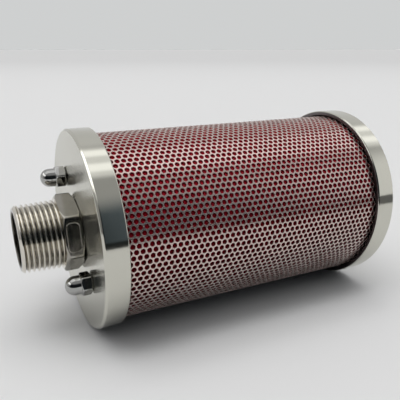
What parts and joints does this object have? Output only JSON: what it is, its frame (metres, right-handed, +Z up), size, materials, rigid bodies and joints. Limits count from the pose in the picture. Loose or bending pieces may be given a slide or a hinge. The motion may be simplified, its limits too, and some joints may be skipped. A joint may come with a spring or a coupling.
{
  "type": "pneumatic muffler",
  "caption": "Cylindrical exhaust muffler for compressed air: a perforated steel tube over red felt, clamped between flat round end caps, with a threaded hexagonal inlet nipple.",
  "frame": {"origin": "centre of the inlet nipple's open end, on the muffler's axis", "axes": "+X runs along the axis from the inlet into the muffler, +Z is up with the muffler lying on its side as stored, +Y completes the right-handed frame"},
  "size_m": [0.1928, 0.1, 0.1],
  "materials": {
    "cap_steel": "turned and satin polished",
    "perforated_steel": "mill finish sheet",
    "nipple_steel": "cast hexagon, bright cut thread",
    "bright_steel": "mirror polished",
    "rod_steel": "drawn and threaded",
    "red_felt": "dense pressed felt",
    "absorber_wool": "soft wool blanket",
    "black_rubber": "matt"
  },
  "bodies": {
    "root": {"front_end_cap": "cap_steel", "rear_end_cap": "cap_steel", "outer_perforated_tube": "perforated_steel", "inner_perforated_tube": "perforated_steel", "red_felt_sleeve": "red_felt", "absorber_blanket": "absorber_wool", "front_tube_gasket": "black_rubber", "rear_tube_gasket": "black_rubber", "hex_nipple": "nipple_steel", "tie_rod_upper": "rod_steel", "tie_rod_lower": "rod_steel", "acorn_nut_upper": "bright_steel", "acorn_nut_lower": "bright_steel", "rod_lock_nut_upper": "rod_steel", "rod_lock_nut_lower": "rod_steel"}
  },
  "joints": []
}
